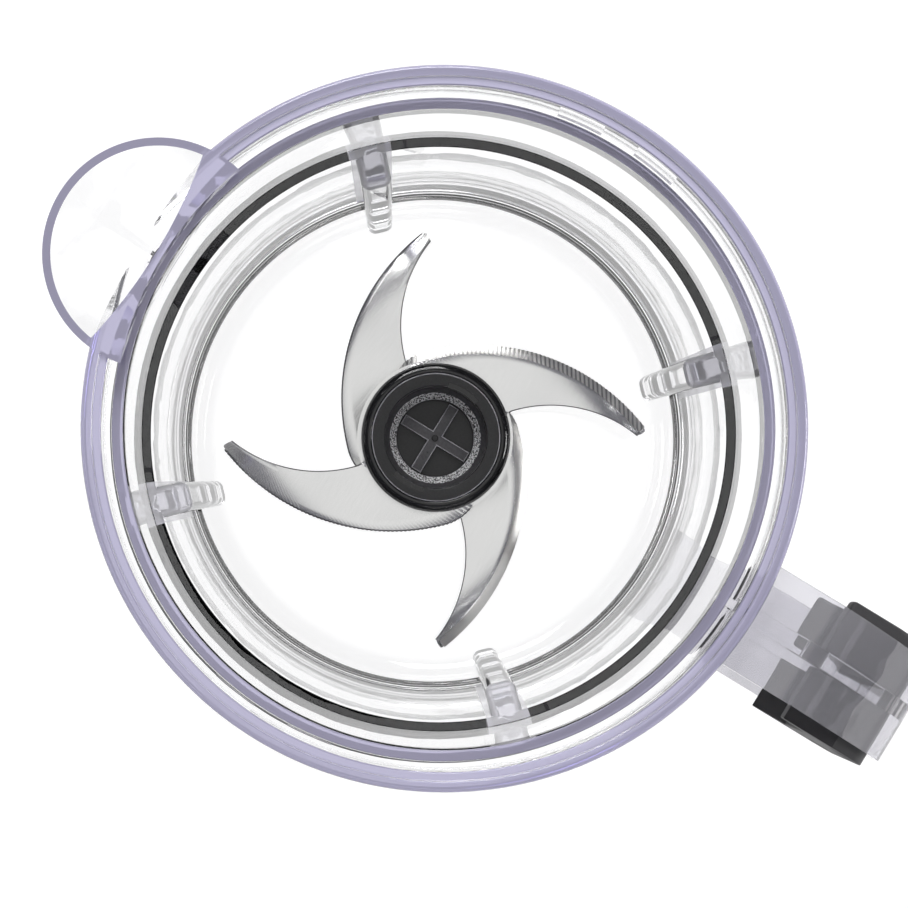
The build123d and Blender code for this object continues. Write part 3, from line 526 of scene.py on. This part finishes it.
# %% [markdown]
# ## The handle
# Seen from the side the handle is a rounded loop. Its outside is a wide flat plate, stiffened by
# a thin spine behind it. Both are bands between two outlines, one drawn in from the other, so
# one function draws the loop at any depth.

# %% Handle outlines
LOOP = [(20.0, 27.0), (106.0, 27.0), (124.0, 49.0), (124.0, 110.5), (99.0, 134.5), (20.0, 134.5)]
LOOP_ROUND = 13.0


def drawn_in(points, depth):
    """Closed outline moved inwards by a depth, corner by corner."""
    moved = []
    for i, point in enumerate(points):
        here = Vector(point)
        before = (here - Vector(points[i - 1])).normalized()
        after = (Vector(points[(i + 1) % len(points)]) - here).normalized()
        inward = Vector((-before.y, before.x)) + Vector((-after.y, after.x))
        inward *= depth / (1 + before.dot(after))
        moved.append(tuple(here + inward))
    return moved


def loop_solid(depth, low, high):
    """The loop's filled outline at a depth, between two distances across it."""
    points = drawn_in(LOOP, depth)
    bm = outline(points, {i: max(LOOP_ROUND - depth, 1.0) for i in (1, 2, 3, 4)})
    bmesh.ops.translate(bm, verts=bm.verts[:], vec=(0, low * MM, 0))
    return extruded(bm, (0, high - low, 0))


def block(low, high):
    """Box between two corners in mm."""
    bm = bmesh.new()
    bmesh.ops.create_cube(bm, size=1.0)
    size = Vector(high) - Vector(low)
    bmesh.ops.scale(bm, verts=bm.verts[:], vec=size * MM)
    bmesh.ops.translate(bm, verts=bm.verts[:], vec=(Vector(low) + Vector(high)) / 2 * MM)
    return bm


def round_edges(made, radius, steps=3, angle=35):
    """Round every edge sharper than an angle."""
    how = made.modifiers.new("rounds", "BEVEL")
    how.width = radius * MM
    how.segments = steps
    how.limit_method = "ANGLE"
    how.angle_limit = math.radians(angle)
    how.harden_normals = False
    settle(made)


print("loop drawn in 3 mm starts at", drawn_in(LOOP, 3.0)[1])

# %% [markdown]
# ## Handle and grip pieces
# The clear handle is the plate and the spine in one moulding. It stops at the jug's wall, a hair
# short of it, because it is a piece of its own. The two dark cheeks of the grip lie either side
# of the spine and stand a little wider than the plate, so they show past its edges.

# %% Handle and grip
HANDLE_HALF = 12.5
SPINE_HALF = 2.0
JOINT_GAP = 0.05
PLATE_THICK = 3.0
GRIP_HALF, GRIP_DEPTH = 15.5, 17.0
WELL_RADIUS = 3.65  # of the wells that the screws' heads sit in

keep_out = [(0, 2), (SKIRT_RADIUS, 2), (SKIRT_RADIUS, 11), (65.3, 30), (LEDGE_LOW[0] + WALL, 81),
            (LEDGE_HIGH[0] + WALL, 84), (VESSEL_RADIUS, COLLAR_LOW), (RIM_RADIUS, COLLAR_LOW),
            (RIM_RADIUS, 150), (0, 150)]
keep_out = [(r + JOINT_GAP if r else 0, z) for r, z in keep_out]

handle = piece("clear_handle", loop_solid(0, -HANDLE_HALF, HANDLE_HALF), [HANDLED], body="jug",
               stands_for=("handle_frame",))
combine(handle, loop_solid(PLATE_THICK, -HANDLE_HALF - 1, HANDLE_HALF + 1), "DIFFERENCE")
spine = piece("spine", loop_solid(2.0, -SPINE_HALF, SPINE_HALF), [CLEAR])
combine(spine, loop_solid(12.0, -SPINE_HALF - 1, SPINE_HALF + 1), "DIFFERENCE")
merge(handle, spine, "UNION")
combine(handle, spun(keep_out), "DIFFERENCE")
round_edges(handle, 0.5)
even_normals(handle)

inside_face = SPINE_HALF + JOINT_GAP
for side, low, high in (("left", inside_face, GRIP_HALF), ("right", -GRIP_HALF, -inside_face)):
    cheek = piece("grip_" + side, loop_solid(PLATE_THICK + JOINT_GAP, low, high), [GRIP], body="jug",
                  stands_for=("grip_cheek_" + side,))
    combine(cheek, loop_solid(GRIP_DEPTH, low - 1, high + 1), "DIFFERENCE")
    combine(cheek, block((99, -20, 44), (130, 20, 118)), "INTERSECT")
    for z in (56.0, 104.0):
        well = bmesh.new()
        bmesh.ops.create_cone(well, cap_ends=True, segments=48, radius1=WELL_RADIUS * MM,
                              radius2=WELL_RADIUS * MM, depth=2.6 * MM)
        bmesh.ops.rotate(well, verts=well.verts[:], matrix=Matrix.Rotation(math.pi / 2, 3, "X"))
        bmesh.ops.translate(well, verts=well.verts[:], vec=Vector((116.5, -14.2, z)) * MM)
        combine(cheek, well, "DIFFERENCE")
    round_edges(cheek, 1.4, steps=4, angle=50)
print("handle faces:", len(handle.data.polygons))

# %% [markdown]
# ## Foot ring
# A rubber ring grips the skirt's lower edge and keeps the jug from sliding.

# %% Foot ring
foot_section = [(73.0, 0), (RIM_RADIUS, 0), (RIM_RADIUS, 8.0), (SKIRT_RADIUS + JOINT_GAP, 8.0),
                (SKIRT_RADIUS + JOINT_GAP, 2.55), (SKIRT_RADIUS - WALL - JOINT_GAP, 2.55),
                (SKIRT_RADIUS - WALL - JOINT_GAP, 8.0), (73.0, 8.0)]
foot = piece("foot", spun(foot_section, {0: 1.0, 1: 1.0, 2: 1.0, 7: 1.0}), [FOOT], body="jug",
             stands_for=("foot_ring",))
print("foot faces:", len(foot.data.polygons))

# %% [markdown]
# ## Hub
# The hub is turned as one section: a keyed stem below, a cup on top. The cup's wall steps in to
# a cone, and that band gets white specks, which are painted glints; the wall above it is painted a
# paler grey, which is painted light. Two flats key the stem and two shallow notches break the cup's
# edge. The polished ring round it is a piece of its own.

# %% Hub
HUB_TOP = 50.0
CUP_RADIUS = 12.3
POCKET_RADIUS = 9.4
GLINT_RADIUS = 11.0
FLAT_REACH = 10.5  # from the axis to each flat that keys the stem
NOTCH_FLOOR, NOTCH_HALF_ANGLE = 48.0, 18.0
POCKET_FLOOR = 34.8

hub_section = [
    (0, POCKET_FLOOR), (POCKET_RADIUS, POCKET_FLOOR), (POCKET_RADIUS, 40.0), (GLINT_RADIUS, 41.93),
    (CUP_RADIUS, 43.5), (CUP_RADIUS, HUB_TOP), (15.45, HUB_TOP), (15.45, 40.0), (12.0, 40.0), (12.0, 15.0),
    (9.8, 15.0), (9.8, 17.2), (8.3, 17.2), (8.3, 33.55), (0, 33.55),
]
hub_materials = [HUB, CUP_GLINTS_PAINTED, CUP_WALL_PAINTED_LIGHT, GLOSS_AND_NOTCH_SHADE, EDGE_HIGHLIGHT_PAINTED]
hub = piece("hub", spun(hub_section, {2: 0.25, 5: 0.3, 6: 0.3}), hub_materials, body="blade_rotor",
            stands_for=("hub_body",))
notch = [(9.0, NOTCH_FLOOR), (13.6, NOTCH_FLOOR), (13.6, 51.0), (9.0, 51.0)]
for side in (1, -1):
    flat_off = block((-14, FLAT_REACH, 14), (14, FLAT_REACH + 4, 38.2))
    turned = Matrix.Rotation(math.radians(90 - 90 * side), 3, "Z")
    bmesh.ops.rotate(flat_off, verts=flat_off.verts[:], matrix=turned)
    combine(hub, flat_off, "DIFFERENCE")
    combine(hub, swept(notch, 90 * side - NOTCH_HALF_ANGLE, 90 * side + NOTCH_HALF_ANGLE), "DIFFERENCE")
for face in hub.data.polygons:
    spot = face.center / MM
    reach = Vector(spot[:2]).length
    # Pocket rim and the hub's outer top edge: pale, painted highlights.
    if spot.z > 39.5 and reach < POCKET_RADIUS + 0.16 or spot.z > 49.6 and reach > 15.2:
        face.material_index = 4
    # Cone inside the cup: white specks, painted glints.
    elif spot.z > 39.5 and reach < GLINT_RADIUS:
        face.material_index = 1
    # Cup's wall: paler grey, painted light.
    elif spot.z > 39.5 and reach < CUP_RADIUS + 0.05:
        face.material_index = 2
    # Notches' faces: the darker glossy black, painted shade.
    elif 47.0 < spot.z < 49.9 and reach < 15.0:
        face.material_index = 3

ring = piece("hub_rim", spun(ring_section(18.0, 15.5, 40.0, HUB_TOP), {2: 1.9, 3: 0.35}), [GLOSS_AND_NOTCH_SHADE],
             body="blade_rotor", stands_for=("hub_ring",))
print("hub faces:", len(hub.data.polygons))

# %% [markdown]
# ## Drive cross
# A disc on the pocket's floor carries a raised cross and a small round nub. The bevel that rounds
# the cross's upper edges also gives them a pale material: painted highlights.

# %% Drive cross
CROSS_LOW = 36.3
CROSS_TOP = 38.9
SUNK = 0.1


def cross():
    """Outline of the cross, pulled up, with its upper edges bevelled in pale painted highlights."""
    half, reach = 1.35, 9.0
    bm = bmesh.new()
    points = []
    for quarter in range(4):
        turn = Matrix.Rotation(math.radians(90 * quarter), 2)
        points += [turn @ Vector(p) for p in ((half, half), (half, reach), (-half, reach))]
    bm.faces.new([bm.verts.new((x * MM, y * MM, (CROSS_LOW - SUNK) * MM)) for x, y in points])
    extruded(bm, (0, 0, CROSS_TOP - CROSS_LOW + SUNK))
    upper = [e for e in bm.edges if all(v.co.z > (CROSS_TOP - 0.1) * MM for v in e.verts)]
    for face in bm.faces:
        face.material_index = 2
    # The bevel's faces take material 1, the pale painted highlight.
    bmesh.ops.bevel(bm, geom=upper, offset=0.25 * MM, segments=3, profile=0.5, affect="EDGES", material=1)
    return bm


drive = piece("drive_plate", spun(ring_section(9.35, 0, POCKET_FLOOR, CROSS_LOW)),
              [HUB, EDGE_HIGHLIGHT_PAINTED, CROSS], body="blade_rotor", stands_for=("drive_cross",))
combine(drive, cross(), "UNION")
combine(drive, spun([(0, 38.0), (0.8, 38.0), (0.8, 39.3), (0, 39.3)], {2: 0.2}, steps=48), "UNION")
print("drive plate faces:", len(drive.data.polygons))

# %% [markdown]
# ## Blades
# Each plate has an eye that the hub clamps and two curved wings opposite each other. A wing lies
# between two arcs, its concave back and its convex cutting edge. It starts as a flat grid with
# rows from the root to the tip, which is pulled up into a plate and moved point by point. One
# wing is ground from above and the other from below, and on the upper plate the ground face
# carries fine teeth. The wings bend down a little towards their tips and are slightly dished, so
# that soft light runs along them.

# %% Blades
SHEET = 1.5
EDGE_LAND = 0.3
BEVEL_WIDTH = 2.3
EYE_RADIUS, EYE_BORE = 18.9, 12.05
UPPER_LOW, LOWER_LOW = 38.5, 19.5
EDGE_INSET, EDGE_DROP = 0.35, 0.2
ROOT_SHARE, ROOT_IN, ROOT_FLARE = 0.12, 2.4, 2.8
ACROSS = 6
LAST = ACROSS + 2
TEETH = 66
ROWS = 4 * TEETH
DISH = 0.8
BEND = 2.5
LEAD = ((9.6, -29.5), 52.0, 112.0, 36.6)  # centre, radius, and angles at the root and tip
TRAIL = ((27.6, -26.2), 33.4, 112.0, 49.5)
TIP = (51.6, 0.35)
TIP_SHARE = 0.93


def arc_point(arc, share, more=0.0):
    """Point part of the way along an arc, moved outwards by more."""
    centre, radius, start, end = arc
    angle = math.radians(start + (end - start) * share)
    return Vector(centre) + (radius + more) * Vector((math.cos(angle), math.sin(angle)))


def wing_point(column, share, low, above, ground, tooth_depth):
    """One point of a wing's upper or lower surface, from its column and its share of the length."""
    root = max(0.0, 1.0 - share / ROOT_SHARE) ** 2
    tooth = tooth_depth * abs(2 * ((share * TEETH) % 1.0) - 1.0)
    inset = EDGE_INSET + (BEVEL_WIDTH - EDGE_INSET) * (1 - root) if ground else EDGE_INSET
    back = arc_point(TRAIL, share, -ROOT_FLARE * root)
    front = arc_point(LEAD, share, -ROOT_IN * root - inset - (tooth * 0.6 if ground else tooth))
    height = SHEET - EDGE_DROP if above else EDGE_DROP
    if column == 0:
        spot = back
    elif column == LAST:
        spot = arc_point(LEAD, share, -ROOT_IN * root - tooth)
        if ground:
            height = EDGE_LAND + tooth if above else SHEET - EDGE_LAND - tooth
    else:
        along = (column - 1) / ACROSS
        rounding = max(0.0, (share - TIP_SHARE) / (1 - TIP_SHARE)) ** 2
        tip = Vector(TIP) - (arc_point(TRAIL, 1.0) + arc_point(LEAD, 1.0)) / 2
        start = back.lerp(front, EDGE_INSET / (front - back).length)
        spot = start.lerp(front, along) + tip * 0.8 * rounding * (1 - (2 * along - 1) ** 2)
        height = SHEET if above else 0.0
    reach = max(0.0, min(1.0, (spot.length - 20.0) / 32.0))
    height += DISH * math.sin(math.tau * reach) * (column / LAST - 0.4) - BEND * reach ** 2
    return Vector((spot.x, spot.y, low + height)) * MM


def wing(low, ground_above, tooth_depth):
    """Closed solid of one wing along +X: a flat grid, pulled up and then moved point by point."""
    bm = bmesh.new()
    bmesh.ops.create_grid(bm, x_segments=LAST, y_segments=ROWS, size=1.0)
    extruded(bm, (0, 0, 1 / MM))
    for face in bm.faces:
        middle = face.calc_center_median()
        column = int((middle.x + 1) / 2 * LAST)
        above = middle.z > 0.75
        if (above or middle.z < 0.25) and column in (0, LAST - 1):
            # Chamfer faces on the back edge and the unground side take material 2, painted dark.
            face.material_index = 1 if column and above == ground_above else 2
    for vert in bm.verts:
        column = round((vert.co.x + 1) / 2 * LAST)
        above = vert.co.z > 0.5
        share = round((vert.co.y + 1) / 2 * ROWS) / ROWS
        vert.co = wing_point(column, share, low, above, above == ground_above, tooth_depth)
    bmesh.ops.recalc_face_normals(bm, faces=bm.faces[:])
    return bm


def blades(name, low, angle, node, ground_steel, tooth_depth):
    """One plate: its eye and both wings, round the hub's stem."""
    made = piece(name, spun(ring_section(EYE_RADIUS, EYE_BORE, low + 0.03, low + SHEET - 0.03), steps=160),
                 [BLADE, ground_steel, EDGE_PAINTED_DARK], body="blade_rotor", stands_for=(node,))
    for turn, ground_above in ((0, True), (180, False)):
        bm = wing(low, ground_above, tooth_depth)
        bmesh.ops.rotate(bm, verts=bm.verts[:], matrix=Matrix.Rotation(math.radians(angle + turn), 3, "Z"))
        combine(made, bm, "UNION")
    combine(made, spun(ring_section(EYE_BORE, 0, low - 2, low + 4), steps=160), "DIFFERENCE")
    return made


upper = blades("upper_wings", UPPER_LOW, UPPER_ANGLE, "upper_blades", TOOTHED_PAINTED_SHADE, tooth_depth=0.2)
lower = blades("lower_wings", LOWER_LOW, LOWER_ANGLE, "lower_blades", GROUND, tooth_depth=0.04)
print("wing faces:", len(upper.data.polygons), len(lower.data.polygons))

# %% [markdown]
# ## The pieces that stay as drawn
# Pins, washers, bushes and seals are simple turned parts, so their CAD meshes are kept and only
# given their real materials.

# %% CAD nodes
kept = {
    TURNED: ("pivot_pin", "pin_washer", "pin_lock_washer", "pin_nut", "grip_screws", "bearing_sleeve",
             "retaining_clip", "blade_washer", "blade_nut"),
    ACETAL: ("thrust_washer", "lower_bush", "upper_bush"),
    NITRILE: ("pin_seal", "rotor_seal"),
    HUB: ("blade_spacer",),
}
for material, nodes in kept.items():
    for node in nodes:
        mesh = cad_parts[node].data
        mesh.materials.clear()
        mesh.materials.append(material)
print("kept CAD nodes:", sum(len(nodes) for nodes in kept.values()))

# %% [markdown]
# ## Floor, light and camera
# Clear plastic has no colour of its own, so what matters is what it stands in. The jug stands on
# a plain pale floor under a pale sky that darkens towards the horizon: its walls then bend grey
# in, while the floor seen past them stays near white. Two large soft lamps shape the steel.

# %% Floor and light
floor_mesh = bmesh.new()
bmesh.ops.create_grid(floor_mesh, x_segments=1, y_segments=1, size=1.6)
bmesh.ops.translate(floor_mesh, verts=floor_mesh.verts[:], vec=(0, 0, -0.0002))
FLOOR, floor_tree = new_material("floor_paper_matt")
close_material(FLOOR, add(floor_tree, "ShaderNodeBsdfPrincipled", {
    "Base Color": colour("6E6E70"), "Roughness": 0.9,
    "Emission Color": colour("FFFFFF"), "Emission Strength": 0.96}).outputs["BSDF"])
floor = piece("floor", floor_mesh, [FLOOR])

scene = bpy.context.scene
world = bpy.data.worlds.new("soft_room")
scene.world = world
world.use_nodes = True
sky = world.node_tree
sky.nodes.clear()
direction = add(sky, "ShaderNodeTexCoord").outputs["Generated"]
height = add(sky, "ShaderNodeSeparateXYZ", {"Vector": direction}).outputs["Z"]
shade = ramp(sky, height, [(0.0, colour("4A4A50")), (0.35, colour("64646A")), (0.92, colour("7A7A80")),
                            (0.992, colour("FFFFFF"))])
glow = add(sky, "ShaderNodeBackground", {"Color": shade, "Strength": 1.1})
add(sky, "ShaderNodeOutputWorld", {"Surface": glow.outputs["Background"]})


def soft_lamp(name, place, size, power):
    """Square area lamp that faces the jug."""
    light = bpy.data.lights.new(name, "AREA")
    light.size = size
    light.energy = power
    made = bpy.data.objects.new(name, light)
    made.location = place
    made.rotation_euler = (Vector((0, 0, 0.08)) - Vector(place)).to_track_quat("-Z", "Y").to_euler()
    scene.collection.objects.link(made)


soft_lamp("lamp_upper_left", (-0.7, 0.8, 1.2), 0.7, 14)
soft_lamp("lamp_handle_side", (1.0, 0.5, 0.9), 0.4, 6)

# %% [markdown]
# ## Camera
# The camera looks almost straight down into the mouth through a long lens, tipped by a degree or
# two and rolled, so the handle points to the lower right and the spout to the upper left.

# %% Camera
LENS = 171.6
DISTANCE = 0.950
ROLL = math.radians(-31.3)
LEAN = Vector((0.0268, 0.0187, 1.0)).normalized()  # the jug's axis as the camera sees it
AIM = Vector((-0.00201, 0.00601))  # the rim's centre off the middle of the view, per metre away

across = Vector((math.cos(ROLL), math.sin(ROLL), 0.0))
across = (across - LEAN * across.dot(LEAN)).normalized()
turn = Matrix((across, LEAN.cross(across), LEAN))
camera_data = bpy.data.cameras.new("camera")
camera_data.lens = LENS
camera_data.sensor_width = 36.0
camera_data.clip_end = 20.0
camera = bpy.data.objects.new("camera", camera_data)
scene.collection.objects.link(camera)
rim_centre = DISTANCE * Vector((AIM.x, AIM.y, -1.0))
camera.matrix_world = Matrix.Translation(Vector((0, 0, RIM_Z * MM)) - turn @ rim_centre) @ turn.to_4x4()
scene.camera = camera
scene.view_settings.view_transform = "Standard"
print("camera at", [round(v, 3) for v in camera.location])
